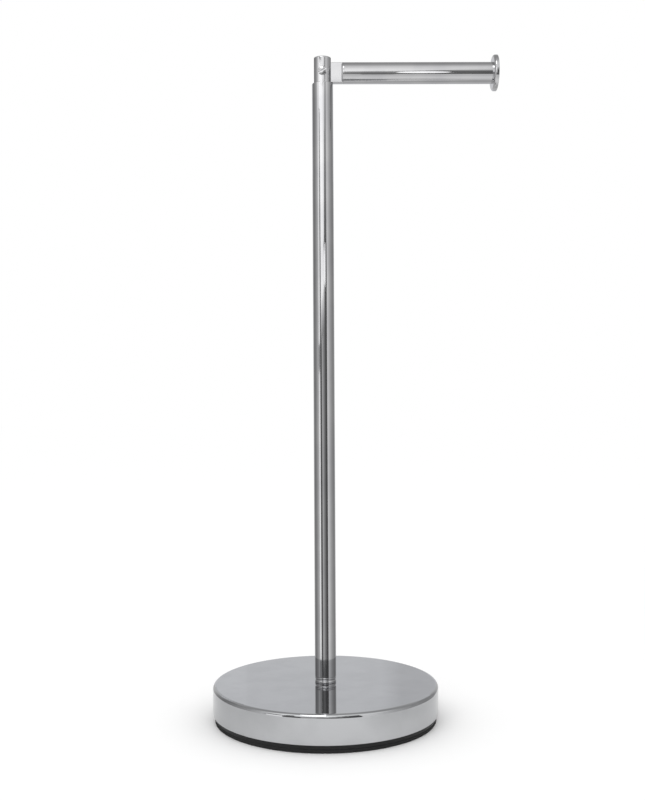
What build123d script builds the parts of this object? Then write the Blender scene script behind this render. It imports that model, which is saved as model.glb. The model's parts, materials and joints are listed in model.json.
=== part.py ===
from build123d import *
import os
from math import asin, atan2, cos, degrees, hypot, pi, sqrt

os.makedirs("parts", exist_ok=True)

# All sizes are in millimetres. The origin is on the floor under the middle of the base,
# Z points up, X points along the arm, and the pivot pin lies along Y.

# Overall sizes
total_height = 560.0         # floor to the top of the pivot post
base_diameter = 190.0
base_height = 30.0           # floor to the flat top of the cover
reach = 156.0                # side of the post to the outer face of the end disc

# Clearances that several pieces share
press_clearance = 0.05       # radial, for what is pushed into a tube
thread_clearance = 0.05      # radial, between a screw and its tapped hole
seat_clearance = 0.1         # between pieces that are stacked inside the base
loose_clearance = 0.3        # around pieces that are dropped into place
overrun = 5.0                # how far a cutter passes the face it enters by

# Tube stock of the pole and the arm
tube_diameter = 18.0
tube_wall = 1.0
tube_edge_round = 0.5        # at the pole's top
tube_foot_round = 0.4        # at the pole's foot
tube_seam_round = 0.3        # at the arm's shoulder

tube_radius = tube_diameter / 2
tube_bore_radius = tube_radius - tube_wall
plug_radius = tube_bore_radius - press_clearance
plug_chamfer = 0.8           # lead-in on whatever is pushed into a tube

# Pressed cover of the base
cover_wall = 1.0
cover_shoulder_round = 3.0
cover_rim_round = 0.4
cover_rim_lift = 6.4         # floor to the cover's lower rim

cover_radius = base_diameter / 2
cover_bore_radius = cover_radius - cover_wall
cover_underside = base_height - cover_wall

# Black ring under the cover: a foam pad below, the plastic tray above
ring_inset = 1.75            # radial, behind the outside of the cover
pad_thickness = 2.9
pad_edge_round = 0.4

ring_radius = cover_radius - ring_inset

# Bolt that holds base and pole together, with its washers
bolt_diameter = 8.0
bolt_length = 35.0
bolt_head_flats = 13.0
bolt_head_height = 5.3
bolt_end_chamfer = 0.8
bolt_hole_clearance = 0.5    # radial, through the weight and the cover
split_washer_diameter = 14.8
split_washer_thickness = 2.0
split_washer_gap = 1.2
flat_washer_diameter = 16.0
flat_washer_thickness = 1.6
washer_bore_clearance = 0.2  # radial

bolt_radius = bolt_diameter / 2
washer_bore_radius = bolt_radius + washer_bore_clearance
bolt_hole_radius = bolt_radius + bolt_hole_clearance

# Plastic tray: a floor, a rim that stands up inside the cover and a hexagonal socket
tray_floor_thickness = 2.5
tray_rim_wall = 2.0
tray_rim_height = 8.0        # above the cover's lower rim
tray_rim_clearance = 0.2     # radial, inside the cover
tray_edge_round = 0.5
socket_wall = 1.9
socket_height = 5.0

tray_bottom = pad_thickness
tray_top = tray_bottom + tray_floor_thickness
tray_rim_radius = cover_bore_radius - tray_rim_clearance
tray_rim_bore_radius = tray_rim_radius - tray_rim_wall
tray_rim_top = cover_rim_lift + tray_rim_height
socket_flats = bolt_head_flats + 2 * seat_clearance
socket_radius = socket_flats / 2 / cos(pi / 6) + socket_wall

# Levels of the bolt and its washers, from the tray upwards
bolt_head_top = tray_top + bolt_head_height
split_washer_top = bolt_head_top + split_washer_thickness
flat_washer_top = split_washer_top + flat_washer_thickness
bolt_end = bolt_head_top + bolt_length

# Cast weight
weight_edge_chamfer = 3.0

weight_radius = tray_rim_bore_radius - loose_clearance
weight_top = cover_underside - seat_clearance
weight_pocket_radius = socket_radius + loose_clearance

# Plug at the foot of the pole, with its visible collar
collar_height = 4.9
collar_edge_round = 0.5
collar_groove_rise = 2.8     # middle of the turned groove above the cover
collar_groove_radius = 1.6
collar_groove_depth = 0.4
foot_plug_length = 20.0      # inside the pole
tapped_hole_spare = 1.5      # past the end of the bolt

collar_top = base_height + collar_height
groove_middle_radius = tube_radius - collar_groove_depth + collar_groove_radius
tapped_hole_radius = bolt_radius + thread_clearance

# Neck of the arm: round bar with a rounded shoulder, milled flat on both sides for the tongue
arm_drop = 12.8              # top of the post down to the arm's axis, which crosses the pivot
tongue_thickness = 6.0
tongue_inset = 0.3           # tail behind the side of the post
tongue_edge_round = 0.4
tongue_plug_length = 20.0    # inside the arm tube
heel_spare = 0.05            # turning radius of the heel past the bar's own
swing_clearance = 1.0        # shoulder past the post's top corner
shoulder_length = 2.0
shoulder_round = 1.8

arm_height = total_height - arm_drop
heel_radius = tube_radius + heel_spare

# Slotted post
slot_side_clearance = 0.1    # each side of the tongue
rest_clearance = 0.2         # under the tongue at rest
slot_floor_rise = 0.2        # slot floor above the pole's rim
post_plug_length = 30.0      # inside the pole
post_edge_round = 1.2
slot_edge_chamfer = 0.3

post_radius = plug_radius
slot_half_width = tongue_thickness / 2 + slot_side_clearance
slot_floor = arm_height - heel_radius - rest_clearance
pole_top = slot_floor - slot_floor_rise
post_side = sqrt(post_radius ** 2 - slot_half_width ** 2)

# The tongue's tail and the turn of its heel, from straight down to the tail
straight_down = 270.0        # degrees
tail = post_side - tongue_inset
heel_turn = degrees(asin(tail / heel_radius))

# Pivot screw: slotted domed head in a spot face, plain shoulder through the tongue, threaded tip
screw_head_diameter = 7.4
screw_head_height = 2.3      # at the middle of the dome
screw_rim_height = 1.5
screw_rim_round = 0.4
screw_slot_width = 1.2
screw_slot_depth = 1.0
screw_slot_turn = 30.0       # degrees, as the screw was left when it was tightened
screw_shoulder_diameter = 5.0
screw_thread_diameter = 4.0
screw_tip_inset = 0.5        # below the back of the post
pivot_clearance = 0.05       # radial, between the shoulder and what turns on it
spot_face_depth = 1.2
spot_face_clearance = 0.2    # radial, around the head

spot_face = post_radius - spot_face_depth
screw_head_radius = screw_head_diameter / 2
dome_rise = screw_head_height - screw_rim_height
dome_radius = (screw_head_radius ** 2 + dome_rise ** 2) / (2 * dome_rise)
screw_shoulder_radius = screw_shoulder_diameter / 2
screw_thread_radius = screw_thread_diameter / 2
pivot_bore_radius = screw_shoulder_radius + pivot_clearance

# Arm tube and its end disc
end_disc_diameter = 30.0
end_disc_thickness = 3.9
end_disc_round = 1.9         # edge towards the roll
end_disc_rim_round = 0.4     # outer edge
end_disc_plug_length = 12.0  # inside the arm tube

shoulder_face = hypot(post_radius, arm_drop) + swing_clearance
arm_start = shoulder_face + shoulder_length
tongue_plug_end = arm_start + tongue_plug_length
disc_outer_face = reach - post_side
disc_inner_face = disc_outer_face - end_disc_thickness

# Planes through the pivot: one faces the screw's head, towards -Y, the other looks along the arm,
# and the third is level, with its own Y running out through the head
pivot_plane = Plane.XZ.shift_origin((0, 0, arm_height))
arm_plane = Plane.YZ.shift_origin((0, 0, arm_height))
head_plane = Plane((0, 0, arm_height), x_dir=(1, 0, 0), z_dir=(0, 0, -1))


# Foam pad, one plain disc with no hole
with BuildPart() as anti_slip_pad:
    with BuildSketch():
        Circle(ring_radius)
    extrude(amount=pad_thickness)
    fillet(anti_slip_pad.edges(), radius=pad_edge_round)

# Plastic tray, turned about Z and then given its socket for the bolt's head
with BuildPart() as base_tray:
    with BuildSketch(Plane.XZ):
        with BuildLine():
            Polyline(
                (0, tray_bottom),
                (ring_radius, tray_bottom),
                (ring_radius, cover_rim_lift),
                (tray_rim_radius, cover_rim_lift),
                (tray_rim_radius, tray_rim_top),
                (tray_rim_bore_radius, tray_rim_top),
                (tray_rim_bore_radius, tray_top),
                (0, tray_top),
                close=True,
            )
        make_face()
    revolve(axis=Axis.Z)
    fillet(base_tray.edges().sort_by(Axis.Z)[0], radius=tray_edge_round)
    with BuildSketch(Plane.XY.offset(tray_top)):
        Circle(socket_radius)
        RegularPolygon(socket_flats / 2, 6, major_radius=False, mode=Mode.SUBTRACT)
    extrude(amount=socket_height)

# Cast weight, with a pocket below for the socket, the bolt's head and the washers
with BuildPart() as base_weight:
    with BuildSketch(Plane.XY.offset(tray_top)):
        Circle(weight_radius)
    extrude(amount=weight_top - tray_top)
    chamfer(base_weight.edges().sort_by(Axis.Z)[-1], length=weight_edge_chamfer)
    with BuildSketch(Plane.XY.offset(tray_top)):
        Circle(weight_pocket_radius)
    extrude(amount=flat_washer_top - tray_top, mode=Mode.SUBTRACT)
    with BuildSketch(Plane.XY.offset(flat_washer_top)):
        Circle(bolt_hole_radius)
    extrude(amount=weight_top - flat_washer_top, mode=Mode.SUBTRACT)

# Pressed cover, a shallow cup with its open side down
with BuildPart() as base_cover:
    with BuildSketch(Plane.XY.offset(cover_rim_lift)):
        Circle(cover_radius)
    extrude(amount=base_height - cover_rim_lift)
    fillet(base_cover.edges().sort_by(Axis.Z)[-1], radius=cover_shoulder_round)
    offset(amount=-cover_wall, openings=base_cover.faces().sort_by(Axis.Z)[0])
    rim_edges = base_cover.edges().group_by(Axis.Z)[0]
    fillet(rim_edges.sort_by(SortBy.RADIUS)[-1], radius=cover_rim_round)
    with BuildSketch(Plane.XY.offset(cover_underside)):
        Circle(bolt_hole_radius)
    extrude(amount=cover_wall, mode=Mode.SUBTRACT)

# Hex-head bolt, head down in the tray's socket
with BuildPart() as base_bolt:
    with BuildSketch(Plane.XY.offset(tray_top)):
        RegularPolygon(bolt_head_flats / 2, 6, major_radius=False)
    extrude(amount=bolt_head_height)
    with BuildSketch(Plane.XY.offset(bolt_head_top)):
        Circle(bolt_radius)
    extrude(amount=bolt_length)
    chamfer(base_bolt.edges().sort_by(Axis.Z)[-1], length=bolt_end_chamfer)

# Split washer, cut through on one side
with BuildPart() as spring_washer:
    with BuildSketch(Plane.XY.offset(bolt_head_top)):
        Circle(split_washer_diameter / 2)
        Circle(washer_bore_radius, mode=Mode.SUBTRACT)
        with Locations((split_washer_diameter / 2, 0)):
            Rectangle(split_washer_diameter, split_washer_gap, mode=Mode.SUBTRACT)
    extrude(amount=split_washer_thickness)

with BuildPart() as flat_washer:
    with BuildSketch(Plane.XY.offset(split_washer_top)):
        Circle(flat_washer_diameter / 2)
        Circle(washer_bore_radius, mode=Mode.SUBTRACT)
    extrude(amount=flat_washer_thickness)

# Collar on the cover, and the tapped plug above it inside the pole
with BuildPart() as foot_plug:
    with BuildSketch(Plane.XY.offset(base_height)):
        Circle(tube_radius)
    extrude(amount=collar_height)
    fillet(foot_plug.edges(), radius=collar_edge_round)
    with BuildSketch(Plane.XZ):
        with Locations((groove_middle_radius, base_height + collar_groove_rise)):
            Circle(collar_groove_radius)
    revolve(axis=Axis.Z, mode=Mode.SUBTRACT)
    with BuildSketch(Plane.XY.offset(collar_top)):
        Circle(plug_radius)
    extrude(amount=foot_plug_length)
    chamfer(foot_plug.edges().sort_by(Axis.Z)[-1], length=plug_chamfer)
    with BuildSketch(Plane.XY.offset(base_height)):
        Circle(tapped_hole_radius)
    extrude(amount=bolt_end + tapped_hole_spare - base_height, mode=Mode.SUBTRACT)

# Upright tube
with BuildPart() as pole_tube:
    with BuildSketch(Plane.XY.offset(collar_top)):
        Circle(tube_radius)
    extrude(amount=pole_top - collar_top)
    fillet(pole_tube.edges().sort_by(Axis.Z)[-1], radius=tube_edge_round)
    fillet(pole_tube.edges().sort_by(Axis.Z)[0], radius=tube_foot_round)
    with BuildSketch(Plane.XY.offset(collar_top)):
        Circle(tube_bore_radius)
    extrude(amount=pole_top - collar_top, mode=Mode.SUBTRACT)

# Post: a turned bar pushed into the pole, slotted right through along X for the tongue
with BuildPart() as pivot_post:
    with BuildSketch(Plane.XY.offset(pole_top - post_plug_length)):
        Circle(post_radius)
    extrude(amount=post_plug_length + total_height - pole_top)
    fillet(pivot_post.edges().sort_by(Axis.Z)[-1], radius=post_edge_round)
    chamfer(pivot_post.edges().sort_by(Axis.Z)[0], length=plug_chamfer)
    with BuildSketch(Plane.XY.offset(slot_floor)):
        Rectangle(2 * post_radius + overrun, 2 * slot_half_width)
    extrude(amount=total_height + overrun - slot_floor, mode=Mode.SUBTRACT)
    chamfer(pivot_post.edges().filter_by(Axis.X).group_by(Axis.Z)[-1], length=slot_edge_chamfer)
    with BuildSketch(pivot_plane):
        Circle(pivot_bore_radius)
    extrude(amount=post_radius, mode=Mode.SUBTRACT)
    with BuildSketch(pivot_plane.offset(spot_face)):
        Circle(screw_head_radius + spot_face_clearance)
    extrude(amount=spot_face_depth + overrun, mode=Mode.SUBTRACT)
    with BuildSketch(pivot_plane):
        Circle(screw_thread_radius + thread_clearance)
    extrude(amount=-post_radius, mode=Mode.SUBTRACT)

# Screw across the post, with its head on the spot face
with BuildPart() as pivot_screw:
    with BuildSketch(head_plane):
        with BuildLine():
            Polyline(
                (0, spot_face + screw_head_height),
                (0, spot_face),
                (screw_head_radius, spot_face),
                (screw_head_radius, spot_face + screw_rim_height),
            )
            RadiusArc(
                (screw_head_radius, spot_face + screw_rim_height),
                (0, spot_face + screw_head_height),
                -dome_radius,
            )
        make_face()
    revolve(axis=Axis((0, 0, arm_height), (0, -1, 0)))
    fillet(pivot_screw.edges().filter_by(Plane.XZ).sort_by(Axis.Y)[0], radius=screw_rim_round)
    with BuildSketch(pivot_plane.offset(spot_face + screw_head_height)):
        Rectangle(screw_head_diameter + overrun, screw_slot_width, rotation=screw_slot_turn)
    extrude(amount=-screw_slot_depth, mode=Mode.SUBTRACT)
    with BuildSketch(pivot_plane.offset(spot_face)):
        Circle(screw_shoulder_radius)
    extrude(amount=-(spot_face + slot_half_width))
    with BuildSketch(pivot_plane.offset(-slot_half_width)):
        Circle(screw_thread_radius)
    extrude(amount=-(post_radius - slot_half_width - screw_tip_inset))

# Neck of the arm, first the tongue. Its heel is an arc about the pivot that clears the slot floor
# as the arm lifts, and its upper corner then meets that floor and stops the arm past upright.
with BuildPart() as arm_tongue:
    with BuildSketch(arm_plane.offset(-tail)):
        Circle(tube_radius)
        Rectangle(tongue_thickness, 2 * tube_radius, mode=Mode.INTERSECT)
    extrude(amount=tail + shoulder_face + shoulder_round)
    with BuildSketch(pivot_plane):
        with BuildLine():
            heel = CenterArc((0, 0), heel_radius, straight_down, -heel_turn)
            Polyline(
                heel @ 1,
                (-tail, tube_radius + overrun),
                (arm_start, tube_radius + overrun),
                (arm_start, -heel_radius),
                heel @ 0,
            )
        make_face()
    extrude(amount=tube_radius, both=True, mode=Mode.INTERSECT)
    # every edge of the tongue but those of its end, which goes into the shoulder
    free_edges = arm_tongue.edges().group_by(Axis.X)[:-1]
    fillet([edge for group in free_edges for edge in group], radius=tongue_edge_round)
    with BuildSketch(pivot_plane):
        Circle(pivot_bore_radius)
    extrude(amount=tongue_thickness, both=True, mode=Mode.SUBTRACT)
    # then the turned shoulder and the plug
    with BuildSketch(pivot_plane):
        with BuildLine():
            Polyline((shoulder_face, 0), (shoulder_face, tube_radius - shoulder_round))
            RadiusArc(
                (shoulder_face, tube_radius - shoulder_round),
                (shoulder_face + shoulder_round, tube_radius),
                shoulder_round,
            )
            Polyline(
                (shoulder_face + shoulder_round, tube_radius),
                (arm_start, tube_radius),
                (arm_start, plug_radius),
                (tongue_plug_end - plug_chamfer, plug_radius),
                (tongue_plug_end, plug_radius - plug_chamfer),
                (tongue_plug_end, 0),
                (shoulder_face, 0),
            )
        make_face()
    revolve(axis=Axis((0, 0, arm_height), (1, 0, 0)))

# Arm tube, closed by the tongue's plug at one end and by the disc's plug at the other
with BuildPart() as arm_tube:
    with BuildSketch(arm_plane.offset(arm_start)):
        Circle(tube_radius)
    extrude(amount=disc_inner_face - arm_start)
    fillet(arm_tube.edges().sort_by(Axis.X)[0], radius=tube_seam_round)
    with BuildSketch(arm_plane.offset(arm_start)):
        Circle(tube_bore_radius)
    extrude(amount=disc_inner_face - arm_start, mode=Mode.SUBTRACT)

# Disc that keeps the roll on the arm
with BuildPart() as end_disc:
    with BuildSketch(arm_plane.offset(disc_inner_face)):
        Circle(end_disc_diameter / 2)
    extrude(amount=end_disc_thickness)
    fillet(end_disc.edges().sort_by(Axis.X)[0], radius=end_disc_round)
    fillet(end_disc.edges().sort_by(Axis.X)[-1], radius=end_disc_rim_round)
    with BuildSketch(arm_plane.offset(disc_inner_face)):
        Circle(plug_radius)
    extrude(amount=-end_disc_plug_length)
    chamfer(end_disc.edges().sort_by(Axis.X)[0], length=plug_chamfer)

# Where the tongue's rounded upper corner meets the slot floor, as the arm lifts about the pivot
corner_x = tongue_edge_round - tail
corner_z = tube_radius - tongue_edge_round
corner_radius = hypot(corner_x, corner_z)
corner_angle = degrees(atan2(corner_z, corner_x))
floor_drop = heel_radius + rest_clearance - tongue_edge_round
floor_angle = degrees(pi + asin(floor_drop / corner_radius))
print(f"The arm stops {floor_angle - corner_angle:.1f} degrees above level")

pieces = {
    "anti_slip_pad": anti_slip_pad,
    "base_tray": base_tray,
    "base_weight": base_weight,
    "base_cover": base_cover,
    "base_bolt": base_bolt,
    "spring_washer": spring_washer,
    "flat_washer": flat_washer,
    "foot_plug": foot_plug,
    "pole_tube": pole_tube,
    "pivot_post": pivot_post,
    "pivot_screw": pivot_screw,
    "arm_tongue": arm_tongue,
    "arm_tube": arm_tube,
    "end_disc": end_disc,
}
for name, piece in pieces.items():
    piece.part.label = name
    export_step(piece.part, f"parts/{name}.step")
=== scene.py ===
import json
import math

import bmesh
import bpy
from mathutils import Matrix, Vector

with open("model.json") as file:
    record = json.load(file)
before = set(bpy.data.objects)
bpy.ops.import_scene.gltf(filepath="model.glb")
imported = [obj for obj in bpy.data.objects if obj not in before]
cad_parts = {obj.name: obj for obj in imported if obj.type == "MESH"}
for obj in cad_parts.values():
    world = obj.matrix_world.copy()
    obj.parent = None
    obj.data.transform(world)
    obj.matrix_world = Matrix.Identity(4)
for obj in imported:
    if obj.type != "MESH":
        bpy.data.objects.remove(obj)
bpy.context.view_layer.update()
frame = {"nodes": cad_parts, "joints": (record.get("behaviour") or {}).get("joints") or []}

nodes = frame["nodes"]
pivot = frame["joints"][0]["pos_m"]
mm = 0.001
print("frame loaded:", len(nodes), "solids")


# Camera, at the photograph's viewing angle: low in front of the stand, almost level

cameraSetup = {
    "place": (-0.00949, -0.87656, 0.26164),
    "turn": (90.470, 0.300, -0.528),      # degrees
    "sensorHeight": 36.0,
    "lens": 46.41,
    "nearest": 0.01,
    "farthest": 60.0,
}

cameraData = bpy.data.cameras.new("photoCamera")
cameraData.sensor_fit = "VERTICAL"
cameraData.sensor_height = cameraSetup["sensorHeight"]
cameraData.lens = cameraSetup["lens"]
cameraData.clip_start = cameraSetup["nearest"]
cameraData.clip_end = cameraSetup["farthest"]
camera = bpy.data.objects.new("photoCamera", cameraData)
camera.location = cameraSetup["place"]
camera.rotation_euler = [math.radians(a) for a in cameraSetup["turn"]]
bpy.context.scene.collection.objects.link(camera)
bpy.context.scene.camera = camera
bpy.context.scene.view_settings.view_transform = "Standard"
print("camera placed")


# Small helpers for materials and meshes

def linearColour(hexColour):    # sRGB hex to the linear RGBA that the shaders take
    parts = [int(hexColour[i:i + 2], 16) / 255 for i in (1, 3, 5)]
    return tuple(p / 12.92 if p <= 0.04045 else ((p + 0.055) / 1.055) ** 2.4 for p in parts) + (1.0,)


def addNode(tree, kind, values=None, links=None, **settings):
    node = tree.nodes.new(kind)
    for name, value in settings.items():
        setattr(node, name, value)
    for socket, value in (values or {}).items():
        node.inputs[socket].default_value = value
    for socket, source in (links or {}).items():
        tree.links.new(source, node.inputs[socket])
    return node


def newMaterial(name):
    material = bpy.data.materials.new(name)
    material.use_nodes = True
    material.node_tree.nodes.clear()
    return material, material.node_tree


def setRamp(ramp, span, tones):     # two positions and their sRGB hexes
    for element, position, hexColour in zip(ramp.color_ramp.elements, span, tones):
        element.position = position
        element.color = linearColour(hexColour)


def addPiece(name, bm):
    mesh = bpy.data.meshes.new(name)
    bm.to_mesh(mesh)
    bm.free()
    piece = bpy.data.objects.new(name, mesh)
    bpy.context.scene.collection.objects.link(piece)
    return piece


def between(stops, place):      # level at a place, on straight lines between the stops
    for (a, low), (b, high) in zip(stops, stops[1:]):
        if place <= b:
            return low + (high - low) * max(0.0, place - a) / (b - a)
    return stops[-1][1]


noiseLow, noiseHigh = 0.3, 0.7      # nearly all of a noise texture's values lie between these


# Studio: pale floor, white room, soft lamp, and the tent and cards that bright metal mirrors

studio = {
    "roomColour": "#FFFFFF",
    "roomStrength": 1.0,
    "floorColour": "#FFFFFF",
    "floorRadius": 14.0,        # m
    "tableRadius": 0.212,       # m
    "tableHole": 0.092,         # m, just inside the rim of the foot pad
    "rimSegments": 128,
    "floorDrop": 0.05,          # mm, so that the foot pad and the floor never share a plane
    "floorPaintedShade": 0.2,        # painted shade: how much darker the chrome shows the table's left and right, as if less lit there
    "paintedShadeFrom": 0.06,        # m to either side of the pole, where that starts
    "paintedShadeTo": 0.15,          # m, where it is full
    "lampPlace": (-0.75, -1.0, 1.35),
    "lampAim": (0, 0, 0.15),
    "lampSize": 0.9,            # m
    "lampPower": 2.0,           # W
}

world = bpy.data.worlds.new("whiteRoom")
world.use_nodes = True
background = world.node_tree.nodes["Background"]
background.inputs["Color"].default_value = linearColour(studio["roomColour"])
background.inputs["Strength"].default_value = studio["roomStrength"]
bpy.context.scene.world = world


def flatRing(name, inner, outer):
    bm = bmesh.new()
    atFloor = Matrix.Translation((0, 0, -studio["floorDrop"] * mm))
    for radius in (inner, outer):
        bmesh.ops.create_circle(bm, segments=studio["rimSegments"], radius=radius, matrix=atFloor)
    bmesh.ops.bridge_loops(bm, edges=bm.edges[:])
    bm.normal_update()
    if bm.faces[:][0].normal.z < 0:
        bmesh.ops.reverse_faces(bm, faces=bm.faces[:])
    return addPiece(name, bm)


# The stand is on a small round table top, level with the floor round it. Past the table's edge the
# chrome mirrors the tent's skirt, as it does in a real light tent, and never the floor. Under the foot
# pad the table is open, so that light gets at the pad when it is looked at from below.
table = flatRing("tableTop", studio["tableHole"], studio["tableRadius"])
floor = flatRing("studioFloor", studio["tableRadius"], studio["floorRadius"])
floor.visible_glossy = False

floorPaper, tree = newMaterial("mattPaperFloor")
place = addNode(tree, "ShaderNodeTexCoord").outputs["Object"]
sideways = addNode(tree, "ShaderNodeSeparateXYZ", links={0: place})
farOut = addNode(tree, "ShaderNodeMath", operation="ABSOLUTE", links={0: sideways.outputs["X"]})
# Painted shade: only glossy rays see the table darker to the left and right of the pole, as if less light
# fell there; the camera sees it plain white
paintedSideShade = addNode(tree, "ShaderNodeMapRange", links={"Value": farOut.outputs[0]},
                 values={"From Min": studio["paintedShadeFrom"], "From Max": studio["paintedShadeTo"],
                         "To Max": studio["floorPaintedShade"]})
ray = addNode(tree, "ShaderNodeLightPath")
paintedShadeInMirror = addNode(tree, "ShaderNodeMath", operation="MULTIPLY",
                   links={0: paintedSideShade.outputs[0], 1: ray.outputs["Is Glossy Ray"]})
colour = addNode(tree, "ShaderNodeMix", data_type="RGBA", links={0: paintedShadeInMirror.outputs[0]},
                 values={6: linearColour(studio["floorColour"]), 7: linearColour("#000000")})
sheet = addNode(tree, "ShaderNodeBsdfDiffuse", links={"Color": colour.outputs[2]})
clear = addNode(tree, "ShaderNodeBsdfTransparent")
side = addNode(tree, "ShaderNodeNewGeometry")
# Clear from below, so that the foot pad can be looked at
oneWay = addNode(tree, "ShaderNodeMixShader",
                 links={0: side.outputs["Backfacing"], 1: sheet.outputs[0], 2: clear.outputs[0]})
addNode(tree, "ShaderNodeOutputMaterial", links={"Surface": oneWay.outputs[0]})
for surface in (table, floor):
    surface.data.materials.append(floorPaper)

lampData = bpy.data.lights.new("softLamp", "AREA")
lampData.shape = "DISK"
lampData.size = studio["lampSize"]
lampData.energy = studio["lampPower"]
lamp = bpy.data.objects.new("softLamp", lampData)
lamp.location = studio["lampPlace"]
lamp.rotation_euler = (Vector(studio["lampAim"]) - lamp.location).to_track_quat("-Z", "Y").to_euler()
lamp.visible_glossy = False     # the cards below are what the chrome shows
bpy.context.scene.collection.objects.link(lamp)

# Cloth of the tent and the cards: it glows at the level that each corner of its mesh has
clothColours = {"plainTentCloth": "#FFFFFF", "coolTentCloth": "#FBFCFF"}
cloth = {}
for clothName, hexColour in clothColours.items():
    cloth[clothName], tree = newMaterial(clothName)
    level = addNode(tree, "ShaderNodeAttribute", attribute_name="level")
    glow = addNode(tree, "ShaderNodeEmission", values={"Color": linearColour(hexColour)},
                   links={"Strength": level.outputs["Fac"]})
    addNode(tree, "ShaderNodeOutputMaterial", links={"Surface": glow.outputs[0]})


def setLevel(bm, levelAt):      # levelAt gives the level at a corner's place
    layer = bm.verts.layers.float.new("level")
    for vert in bm.verts:
        vert[layer] = levelAt(vert.co)


def hangCloth(name, bm, clothName="plainTentCloth"):
    piece = addPiece(name, bm)
    piece.data.materials.append(cloth[clothName])
    # Only the chrome shows it: it lights nothing else and hides from the camera
    piece.visible_camera = False
    piece.visible_diffuse = False
    piece.visible_shadow = False
    piece.visible_volume_scatter = False


tent = {
    "radius": 2.0,              # m
    "roof": 1.45,               # m, above the table's level
    "ground": -0.45,            # m, below it
    "wallSegments": 360,
    "roofRows": 80,             # strips from front to back, each with its own level
    "roofOverlap": 1.01,        # size of the roof and the ground, as a share of the wall's
    # brightness of the wall by azimuth: 0 is the front, where the camera is, and + is to the right
    "wallLight": [(-180, 0.70), (-150, 0.66), (-135, 0.38), (-118, 0.28), (-85, 0.48), (-62, 0.82),
                  (-59, 0.45), (-44, 0.45), (-43, 1.05), (30, 1.05), (44, 1.0), (55, 0.86), (70, 0.66),
                  (85, 0.52), (100, 0.44), (118, 0.36), (135, 0.38), (150, 0.64), (180, 0.70)],
    # brightness of the roof and of the ground from the front, -1, to the back, +1
    "roofLight": [(-1.0, 1.2), (-0.45, 1.15), (-0.28, 1.0), (-0.14, 0.7), (0.0, 0.5), (0.15, 0.42),
                  (1.0, 0.6)],
    "groundLight": [(-1.0, 0.86), (-0.55, 0.87), (-0.25, 1.08), (-0.1, 1.0), (0.1, 0.62), (0.25, 0.58),
                    (0.55, 0.75), (1.0, 0.7)],
}

bm = bmesh.new()
bmesh.ops.create_cone(bm, cap_ends=False, segments=tent["wallSegments"], radius1=tent["radius"],
                      radius2=tent["radius"], depth=tent["roof"] - tent["ground"],
                      matrix=Matrix.Translation((0, 0, (tent["roof"] + tent["ground"]) / 2)))
setLevel(bm, lambda co: between(tent["wallLight"], math.degrees(math.atan2(co.x, -co.y))))
hangCloth("tentWall", bm)

for name, height, stops in (("tentRoof", tent["roof"], tent["roofLight"]),
                            ("tentGround", tent["ground"], tent["groundLight"])):
    bm = bmesh.new()
    bmesh.ops.create_grid(bm, x_segments=1, y_segments=tent["roofRows"],
                          size=tent["radius"] * tent["roofOverlap"],
                          matrix=Matrix.Translation((0, 0, height)))
    setLevel(bm, lambda co: between(stops, co.y / tent["radius"]))
    hangCloth(name, bm)

cardCuts = 7        # along each side of a card, so that its level blends evenly between the corners


def hangCard(name, corners, clothName="plainTentCloth"):    # each corner is its place and its level
    bm = bmesh.new()
    layer = bm.verts.layers.float.new("level")
    outline = []
    for corner, light in corners:
        outline.append(bm.verts.new(corner))
        outline[-1][layer] = light
    bm.faces.new(outline)
    bmesh.ops.subdivide_edges(bm, edges=bm.edges[:], cuts=cardCuts, use_grid_fill=True)
    hangCloth(name, bm, clothName)


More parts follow.
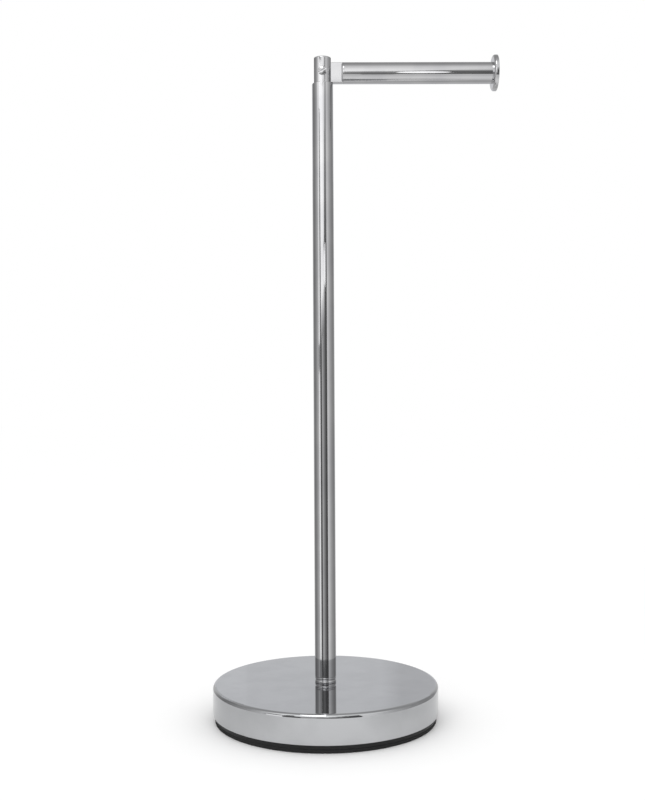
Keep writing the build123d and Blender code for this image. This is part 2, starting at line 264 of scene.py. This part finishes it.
# Cards: the distance from the pole in m, then the azimuth in degrees, the height in m and the level of the
# four corners, from the lower left one round. A near card hides what is behind it.
cards = {
    # the dim room behind the camera, and its upper part
    "roomLeft": (1.95, (-42, -0.44, 0.15), (-24, -0.44, 0.16), (-24, 1.30, 0.16), (-42, 1.30, 0.15)),
    "roomMiddle": (1.95, (-24, -0.44, 0.62), (-9, -0.44, 0.62), (-9, 0.90, 0.62), (-24, 0.90, 0.62)),
    "roomDim": (1.95, (-9, -0.44, 0.46), (2, -0.44, 0.36), (2, 0.90, 0.36), (-9, 0.90, 0.46)),
    "roomDark": (1.95, (2, -0.44, 0.33), (16, -0.44, 0.15), (16, 0.90, 0.15), (2, 0.90, 0.33)),
    "roomRight": (1.95, (16, -0.44, 0.13), (34, -0.44, 0.10), (34, 1.30, 0.12), (16, 1.30, 0.13)),
    "upperLeft": (1.93, (-42, 0.48, 0.20), (-18, 0.48, 0.20), (-18, 0.90, 0.20), (-42, 0.90, 0.20)),
    "upperMiddle": (1.93, (-18, 0.48, 0.20), (-10, 0.48, 0.34), (-10, 0.90, 0.34), (-18, 0.90, 0.20)),
    "upperRight": (1.93, (-10, 0.48, 0.33), (4, 0.48, 0.14), (4, 0.90, 0.14), (-10, 0.90, 0.33)),
    "upperDark": (1.93, (4, 0.48, 0.14), (22, 0.48, 0.13), (22, 0.90, 0.13), (4, 0.90, 0.14)),
    # lit strips: one patch half-way up on the right, and a tall one on the left
    "brightPatch": (1.5, (-2, 0.537, 1.95), (22, 0.545, 1.3), (22, 0.620, 1.3), (-2, 0.620, 1.95)),
    "stripLow": (1.91, (-59, -0.44, 1.3), (-42, -0.44, 1.45), (-42, 0.36, 1.45), (-59, 0.36, 1.3)),
    "stripHigh": (0.60, (-59, 0.352, 1.3), (-42, 0.352, 1.4), (-42, 1.10, 1.4), (-59, 1.10, 1.3)),
    # the softbox above the camera, with the dim hem along its lower edge
    "hemLeft": (0.86, (-30.5, 0.365, 0.35), (2, 0.390, 0.32), (2, 0.462, 1.2), (-30.5, 0.425, 1.3)),
    "hemStreak": (0.85, (-17, 0.372, 0.66), (-7, 0.372, 0.66), (-7, 0.436, 1.4), (-17, 0.436, 1.4)),
    "hemRight": (0.86, (2, 0.390, 0.32), (17, 0.395, 0.14), (15, 0.466, 0.20), (2, 0.462, 1.0)),
    "softboxLeft": (0.86, (-30.5, 0.425, 1.5), (-12, 0.440, 1.6), (-12, 0.80, 1.90), (-33, 0.80, 1.9)),
    "softboxMiddle": (0.86, (-12, 0.440, 1.6), (2, 0.462, 1.35), (2, 0.80, 1.62), (-12, 0.80, 1.90)),
    "softboxRight": (0.86, (2, 0.540, 1.35), (9, 0.540, 1.1), (26, 0.80, 1.0), (2, 0.80, 1.62)),
    "softboxTop": (0.86, (-10, 0.80, 1.80), (26, 0.80, 1.0), (26, 1.15, 1.0), (-10, 1.15, 1.5)),
    "softboxCorner": (0.86, (-33, 0.80, 1.9), (-10, 0.80, 1.80), (-10, 0.84, 1.75), (-33, 0.84, 1.8)),
    "sideLight": (0.84, (-64, 0.750, 0.85), (-31, 0.750, 2.05), (-31, 0.835, 1.9), (-64, 0.835, 1.0)),
    # dark gaps beside it
    "slit": (0.83, (-43, 0.835, 0.2), (-34, 0.835, 0.2), (-34, 0.90, 0.2), (-43, 0.90, 0.2)),
    "gapLeft": (0.83, (-41, 0.58, 0.2), (-33.5, 0.58, 0.2), (-33.5, 0.750, 0.7), (-42, 0.750, 0.8)),
    "gapRight": (0.83, (7.5, 0.530, 0.12), (33, 0.530, 0.22), (36, 0.80, 0.64), (16, 0.80, 0.80)),
    # the back of the tent, which the top of the base mirrors, and above it what the shoulder's ends mirror
    "backLeft": (1.96, (185.7, -0.44, 0.79), (200, -0.44, 0.81), (200, 0.88, 0.81), (185.7, 0.88, 0.79)),
    "backMiddle": (1.96, (175, -0.44, 0.767), (185.7, -0.44, 0.757), (185.7, 0.88, 0.757),
                   (175, 0.88, 0.767)),
    "backFade": (1.96, (173.3, -0.44, 0.645), (175, -0.44, 0.767), (175, 0.88, 0.767),
                 (173.3, 0.88, 0.645)),
    "backRight": (1.96, (160, -0.44, 0.73), (173.3, -0.44, 0.645), (173.3, 0.88, 0.645),
                  (160, 0.88, 0.73)),
    "backHighLeft": (1.96, (182, 0.88, 0.81), (222, 0.88, 0.76), (222, 1.44, 0.76), (182, 1.44, 0.81)),
    "backHighRight": (1.96, (140, 0.88, 0.76), (163, 0.88, 0.76), (163, 1.44, 0.76), (140, 1.44, 0.76)),
}
for cardName, (reach, *corners) in cards.items():
    placed = []
    for azimuth, height, light in corners:
        angle = math.radians(azimuth)
        placed.append(((reach * math.sin(angle), -reach * math.cos(angle), height), light))
    hangCard(cardName, placed, "coolTentCloth" if cardName.startswith("back") else "plainTentCloth")

# Bare lamp high in front, for the sparkle on the edges that face up
keyLamp = {"left": -0.45, "right": 0.0, "front": -0.95, "back": -0.40, "height": 1.40, "level": 4.5}
bm = bmesh.new()
bmesh.ops.create_grid(bm, x_segments=1, y_segments=1, size=0.5)     # a square of 1 m, scaled to the lamp
bmesh.ops.scale(bm, verts=bm.verts[:],
                vec=(keyLamp["right"] - keyLamp["left"], keyLamp["back"] - keyLamp["front"], 1))
bmesh.ops.translate(bm, verts=bm.verts[:],
                    vec=((keyLamp["left"] + keyLamp["right"]) / 2,
                         (keyLamp["front"] + keyLamp["back"]) / 2, keyLamp["height"]))
setLevel(bm, lambda co: keyLamp["level"])
hangCloth("keyLamp", bm)

# Oval reflector in front, which breaks the dark line along the arm
reflector = {"middle": (0.128, -0.42, 0.487), "halfWidth": 0.034, "halfHeight": 0.073, "segments": 32,
             "level": 1.9}
upright = Matrix.Rotation(math.radians(90), 4, "X")
ovalShape = Matrix.Diagonal((reflector["halfWidth"], reflector["halfHeight"], 1, 1))
bm = bmesh.new()
bmesh.ops.create_circle(bm, cap_ends=True, segments=reflector["segments"], radius=1.0,
                        matrix=Matrix.Translation(reflector["middle"]) @ upright @ ovalShape)
setLevel(bm, lambda co: reflector["level"])
hangCloth("reflector", bm)

# Grey card that keeps the reflector's upper part out of the pole
shade = {"left": 0.042, "right": 0.078, "front": -0.2, "low": 0.433, "high": 0.55,
         "lowLevel": 0.16, "highLevel": 0.45}
hangCard("reflectorShade", [
    ((shade["left"], shade["front"], shade["low"]), shade["lowLevel"]),
    ((shade["right"], shade["front"], shade["low"]), shade["lowLevel"]),
    ((shade["right"], shade["front"], shade["high"]), shade["highLevel"]),
    ((shade["left"], shade["front"], shade["high"]), shade["highLevel"]),
])
print("studio ready:", len(cards), "cards")


# Chrome plating over steel. The plating is thin and mirror bright, so the pieces differ by how the steel
# below was finished: drawn and belt polished, pressed, turned on a lathe, or milled flat.

chrome = {
    "tones": ("#B7B7B9", "#C0C0C1"),    # the first is where the plating is faintly hazy
    "hazeSize": 30.0,                   # mm
    "hazeSpan": (0.38, 0.62),
    "roughness": (0.035, 0.07),
    "grainHeight": 0.0005,              # mm
    "grainStrength": 0.3,
    "smudgeSize": 16.0,                 # mm, finger marks
    "smudgeSpan": (0.56, 0.74),         # only the noise's peaks, so that the marks are few
    "smudgeRoughness": 0.03,            # more, where a finger was
    "wave": (30.0, 0.004),              # mm, length and height of the slow waves in the surface
}


# lineWidth and wave are in mm, and lathe is the place and the turn of the axis that the piece was turned on
def chromePlated(name, lineWidth, stretch=(1, 1, 1), lathe=None, wave=chrome["wave"], tones=chrome["tones"]):
    material, tree = newMaterial(name)
    place = addNode(tree, "ShaderNodeTexCoord").outputs["Object"]
    if lathe:       # lathe marks are rings, so their pattern takes the distance from the axis and along it
        axisPlace, axisTurn = lathe
        onAxis = addNode(tree, "ShaderNodeMapping", vector_type="TEXTURE", links={"Vector": place},
                         values={"Location": axisPlace, "Rotation": [math.radians(a) for a in axisTurn]})
        across = addNode(tree, "ShaderNodeVectorMath", operation="MULTIPLY", links={0: onAxis.outputs[0]},
                         values={1: (1, 1, 0)})
        radius = addNode(tree, "ShaderNodeVectorMath", operation="LENGTH", links={0: across.outputs[0]})
        along = addNode(tree, "ShaderNodeSeparateXYZ", links={0: onAxis.outputs[0]})
        lines = addNode(tree, "ShaderNodeCombineXYZ",
                        links={"X": radius.outputs["Value"], "Z": along.outputs["Z"]})
    else:           # polishing lines run along the axis that the stretch squeezes
        lines = addNode(tree, "ShaderNodeMapping", links={"Vector": place}, values={"Scale": stretch})
    grain = addNode(tree, "ShaderNodeTexNoise", links={"Vector": lines.outputs[0]},
                    values={"Scale": 1 / (lineWidth * mm), "Detail": 3.0, "Roughness": 0.6})
    smooth, rough = chrome["roughness"]
    polish = addNode(tree, "ShaderNodeMapRange", links={"Value": grain.outputs["Fac"]},
                     values={"From Min": noiseLow, "From Max": noiseHigh, "To Min": smooth, "To Max": rough})
    fingers = addNode(tree, "ShaderNodeTexNoise", links={"Vector": place},
                      values={"Scale": 1 / (chrome["smudgeSize"] * mm), "Detail": 5.0, "Roughness": 0.7,
                              "Distortion": 0.6})
    faint, full = chrome["smudgeSpan"]
    smudge = addNode(tree, "ShaderNodeMapRange", links={"Value": fingers.outputs["Fac"]},
                     values={"From Min": faint, "From Max": full, "To Min": 0.0,
                             "To Max": chrome["smudgeRoughness"]})
    shine = addNode(tree, "ShaderNodeMath", operation="ADD",
                    links={0: polish.outputs[0], 1: smudge.outputs[0]})
    clouds = addNode(tree, "ShaderNodeTexNoise", links={"Vector": place},
                     values={"Scale": 1 / (chrome["hazeSize"] * mm), "Detail": 3.0, "Roughness": 0.55})
    haze = addNode(tree, "ShaderNodeValToRGB", links={"Fac": clouds.outputs["Fac"]})
    setRamp(haze, chrome["hazeSpan"], tones)
    waveSize, waveHeight = wave
    swell = addNode(tree, "ShaderNodeTexNoise", links={"Vector": place},
                    values={"Scale": 1 / (waveSize * mm), "Detail": 1.0})
    wavy = addNode(tree, "ShaderNodeBump", links={"Height": swell.outputs["Fac"]},
                   values={"Strength": 1.0, "Distance": waveHeight * mm})
    fine = addNode(tree, "ShaderNodeBump", links={"Height": grain.outputs["Fac"], "Normal": wavy.outputs[0]},
                   values={"Strength": chrome["grainStrength"], "Distance": chrome["grainHeight"] * mm})
    metal = addNode(tree, "ShaderNodeBsdfPrincipled", values={"Metallic": 1.0},
                    links={"Base Color": haze.outputs["Color"], "Roughness": shine.outputs[0],
                           "Normal": fine.outputs[0]})
    addNode(tree, "ShaderNodeOutputMaterial", links={"Surface": metal.outputs[0]})
    return material


# Drawn tube, belt polished: hair lines along it, 0.05 mm apart on the real one and drawn at 0.3 mm to show
chromeUprightTube = chromePlated("chromePlatedDrawnTube", lineWidth=0.3, stretch=(1, 1, 0.02))
chromeArmTube = chromePlated("chromePlatedArmTube", lineWidth=0.3, stretch=(0.02, 1, 1))
# Pressed sheet: a little darker and bluer than the bars, with the low waves that deep drawing leaves
chromePressed = chromePlated("chromePlatedPressedSheet", lineWidth=0.5, wave=(40.0, 0.02),
                             tones=("#B6B7B9", "#BCBDBF"))
# Turned bars: fine rings from the lathe, about the pole's axis, the arm's axis and the screw's, 0.1 mm apart
# on the real ones and drawn a little coarser to show
chromePost = chromePlated("chromePlatedTurnedPost", lineWidth=0.25, wave=(12.0, 0.001),
                          lathe=((0, 0, 0), (0, 0, 0)))
chromeDisc = chromePlated("chromePlatedTurnedDisc", lineWidth=0.25, wave=(12.0, 0.001),
                          lathe=(pivot, (0, 90, 0)))
chromeScrew = chromePlated("chromePlatedScrew", lineWidth=0.2, wave=(6.0, 0.001),
                           lathe=(pivot, (90, 0, 0)))
# Milled bar: straight cutter lines along the tongue, softened by polishing, and drawn coarser too
chromeMilled = chromePlated("chromePlatedMilledBar", lineWidth=0.35, wave=(10.0, 0.001),
                            stretch=(0.05, 1, 1))


# Moulded ABS of the tray: satin black, with the fine even grain of a spark-eroded mould, 0.15 mm on the
# real one and drawn at 0.5 mm, and slightly paler patches where hands have rubbed it
tray = {
    "tones": ("#0E0E0F", "#171718"),
    "toneSpan": (0.35, 0.68),
    "patchSize": 14.0,          # mm
    "grainSize": 0.5,           # mm
    "grainHeight": 0.012,       # mm
    "roughness": (0.36, 0.5),
    "ior": 1.52,
    "specular": 0.3,
}

mouldedAbs, tree = newMaterial("mouldedBlackAbs")
place = addNode(tree, "ShaderNodeTexCoord").outputs["Object"]
grain = addNode(tree, "ShaderNodeTexNoise", links={"Vector": place},
                values={"Scale": 1 / (tray["grainSize"] * mm), "Detail": 2.0, "Roughness": 0.7})
patches = addNode(tree, "ShaderNodeTexNoise", links={"Vector": place},
                  values={"Scale": 1 / (tray["patchSize"] * mm), "Detail": 5.0})
tone = addNode(tree, "ShaderNodeValToRGB", links={"Fac": patches.outputs["Fac"]})
setRamp(tone, tray["toneSpan"], tray["tones"])
shine = addNode(tree, "ShaderNodeMapRange", links={"Value": patches.outputs["Fac"]},
                values={"From Min": noiseLow, "From Max": noiseHigh,
                        "To Min": tray["roughness"][0], "To Max": tray["roughness"][1]})
bump = addNode(tree, "ShaderNodeBump", links={"Height": grain.outputs["Fac"]},
               values={"Strength": 1.0, "Distance": tray["grainHeight"] * mm})
skin = addNode(tree, "ShaderNodeBsdfPrincipled",
               values={"IOR": tray["ior"], "Specular IOR Level": tray["specular"]},
               links={"Base Color": tone.outputs["Color"], "Roughness": shine.outputs[0],
                      "Normal": bump.outputs[0]})
addNode(tree, "ShaderNodeOutputMaterial", links={"Surface": skin.outputs[0]})


# Closed-cell EVA foam of the foot pad: dull black, with cut cells of about 0.4 mm drawn at 0.9 mm, whose
# walls are worn a little greyer where they bear on the floor
pad = {
    "tones": ("#0C0C0D", "#232324"),    # in the cells and on their walls
    "toneSpan": (0.05, 0.6),
    "cellSize": 0.9,                    # mm
    "cellDepth": 0.12,                  # mm
    "wallShare": 0.35,                  # of a cell, from its edge inwards
    "cellShade": -0.6,                  # how much less worn a cell is than its wall
    "wearSize": 25.0,                   # mm
    "roughness": (0.8, 0.95),
    "ior": 1.48,
}

evaFoam, tree = newMaterial("closedCellEvaFoam")
place = addNode(tree, "ShaderNodeTexCoord").outputs["Object"]
cells = addNode(tree, "ShaderNodeTexVoronoi", feature="DISTANCE_TO_EDGE", links={"Vector": place},
                values={"Scale": 1 / (pad["cellSize"] * mm)})
cellEdge = addNode(tree, "ShaderNodeMapRange", links={"Value": cells.outputs["Distance"]},
                   values={"From Min": 0.0, "From Max": pad["wallShare"]})
wear = addNode(tree, "ShaderNodeTexNoise", links={"Vector": place},
               values={"Scale": 1 / (pad["wearSize"] * mm), "Detail": 6.0})
worn = addNode(tree, "ShaderNodeMath", operation="MULTIPLY_ADD",
               links={0: cellEdge.outputs[0], 2: wear.outputs["Fac"]}, values={1: pad["cellShade"]})
tone = addNode(tree, "ShaderNodeValToRGB", links={"Fac": worn.outputs[0]})
setRamp(tone, pad["toneSpan"], pad["tones"])
dry = addNode(tree, "ShaderNodeMapRange", links={"Value": wear.outputs["Fac"]},
              values={"From Min": noiseLow, "From Max": noiseHigh,
                      "To Min": pad["roughness"][0], "To Max": pad["roughness"][1]})
bump = addNode(tree, "ShaderNodeBump", invert=True, links={"Height": cellEdge.outputs[0]},
               values={"Strength": 0.7, "Distance": pad["cellDepth"] * mm})
skin = addNode(tree, "ShaderNodeBsdfPrincipled", values={"IOR": pad["ior"]},
               links={"Base Color": tone.outputs["Color"], "Roughness": dry.outputs[0],
                      "Normal": bump.outputs[0]})
addNode(tree, "ShaderNodeOutputMaterial", links={"Surface": skin.outputs[0]})


# Cast cement of the weight: grey paste with sand grains of 0.8 mm and air voids of up to 3 mm at its skin
weight = {
    "tones": ("#85827C", "#A5A29B"),    # bare paste and the pale skin on it
    "toneSpan": (0.36, 0.64),
    "cloudSize": 30.0,                  # mm
    "sand": "#6C675F",
    "sandSize": 0.8,                    # mm
    "sandHeight": 0.15,                 # mm
    "sandSpan": (0.56, 0.68),           # only the noise's peaks show as sand
    "voidSpacing": 6.0,                 # mm
    "voidSpan": (0.12, 0.24),           # of the spacing, from a void's floor to its brim
    "voidDepth": 0.6,                   # mm
    "roughness": 0.92,
    "ior": 1.5,
}

castCement, tree = newMaterial("castCement")
place = addNode(tree, "ShaderNodeTexCoord").outputs["Object"]
clouds = addNode(tree, "ShaderNodeTexNoise", links={"Vector": place},
                 values={"Scale": 1 / (weight["cloudSize"] * mm), "Detail": 8.0, "Roughness": 0.65})
paste = addNode(tree, "ShaderNodeValToRGB", links={"Fac": clouds.outputs["Fac"]})
setRamp(paste, weight["toneSpan"], weight["tones"])
grains = addNode(tree, "ShaderNodeTexNoise", links={"Vector": place},
                 values={"Scale": 1 / (weight["sandSize"] * mm), "Detail": 2.0})
grainSpots = addNode(tree, "ShaderNodeMapRange", links={"Value": grains.outputs["Fac"]},
                     values={"From Min": weight["sandSpan"][0], "From Max": weight["sandSpan"][1]})
surface = addNode(tree, "ShaderNodeMix", data_type="RGBA", values={7: linearColour(weight["sand"])},
                  links={0: grainSpots.outputs[0], 6: paste.outputs["Color"]})
bubbles = addNode(tree, "ShaderNodeTexVoronoi", links={"Vector": place},
                  values={"Scale": 1 / (weight["voidSpacing"] * mm)})
voids = addNode(tree, "ShaderNodeMapRange", links={"Value": bubbles.outputs["Distance"]},
                values={"From Min": weight["voidSpan"][0], "From Max": weight["voidSpan"][1]})
pits = addNode(tree, "ShaderNodeBump", links={"Height": voids.outputs[0]},
               values={"Strength": 1.0, "Distance": weight["voidDepth"] * mm})
rough = addNode(tree, "ShaderNodeBump", links={"Height": grains.outputs["Fac"], "Normal": pits.outputs[0]},
                values={"Strength": 0.8, "Distance": weight["sandHeight"] * mm})
skin = addNode(tree, "ShaderNodeBsdfPrincipled",
               values={"Roughness": weight["roughness"], "IOR": weight["ior"]},
               links={"Base Color": surface.outputs[2], "Normal": rough.outputs[0]})
addNode(tree, "ShaderNodeOutputMaterial", links={"Surface": skin.outputs[0]})


# Bright zinc on the hidden bolt and washers: bluish grey with faint straw tints, over forged or stamped
# steel whose marks of about 0.3 mm stay visible
zinc = {
    "tones": ("#AEB4BE", "#BDB9AE"),
    "toneSpan": (0.42, 0.66),
    "tintSize": 5.0,            # mm
    "markSize": 0.3,            # mm
    "roughness": (0.28, 0.42),
}


def zincPlated(name, markHeight):       # mm
    material, tree = newMaterial(name)
    place = addNode(tree, "ShaderNodeTexCoord").outputs["Object"]
    tint = addNode(tree, "ShaderNodeTexNoise", links={"Vector": place},
                   values={"Scale": 1 / (zinc["tintSize"] * mm), "Detail": 3.0, "Distortion": 0.8})
    tone = addNode(tree, "ShaderNodeValToRGB", links={"Fac": tint.outputs["Fac"]})
    setRamp(tone, zinc["toneSpan"], zinc["tones"])
    marks = addNode(tree, "ShaderNodeTexNoise", links={"Vector": place},
                    values={"Scale": 1 / (zinc["markSize"] * mm), "Detail": 3.0})
    shine = addNode(tree, "ShaderNodeMapRange", links={"Value": marks.outputs["Fac"]},
                    values={"From Min": noiseLow, "From Max": noiseHigh,
                            "To Min": zinc["roughness"][0], "To Max": zinc["roughness"][1]})
    bump = addNode(tree, "ShaderNodeBump", links={"Height": marks.outputs["Fac"]},
                   values={"Strength": 1.0, "Distance": markHeight * mm})
    metal = addNode(tree, "ShaderNodeBsdfPrincipled", values={"Metallic": 1.0},
                    links={"Base Color": tone.outputs["Color"], "Roughness": shine.outputs[0],
                           "Normal": bump.outputs[0]})
    addNode(tree, "ShaderNodeOutputMaterial", links={"Surface": metal.outputs[0]})
    return material


finishes = {
    "pole_tube": chromeUprightTube,
    "arm_tube": chromeArmTube,
    "base_cover": chromePressed,
    "foot_plug": chromePost,
    "pivot_post": chromePost,
    "pivot_screw": chromeScrew,
    "arm_tongue": chromeMilled,
    "end_disc": chromeDisc,
    "base_tray": mouldedAbs,
    "anti_slip_pad": evaFoam,
    "base_weight": castCement,
    "base_bolt": zincPlated("zincPlatedForgedBolt", markHeight=0.01),
    "spring_washer": zincPlated("zincPlatedSpringSteel", markHeight=0.006),
    "flat_washer": zincPlated("zincPlatedStampedWasher", markHeight=0.004),
}
for name, material in finishes.items():
    for slot in nodes[name].material_slots:
        slot.material = material
print("finishes on", len(finishes), "solids")
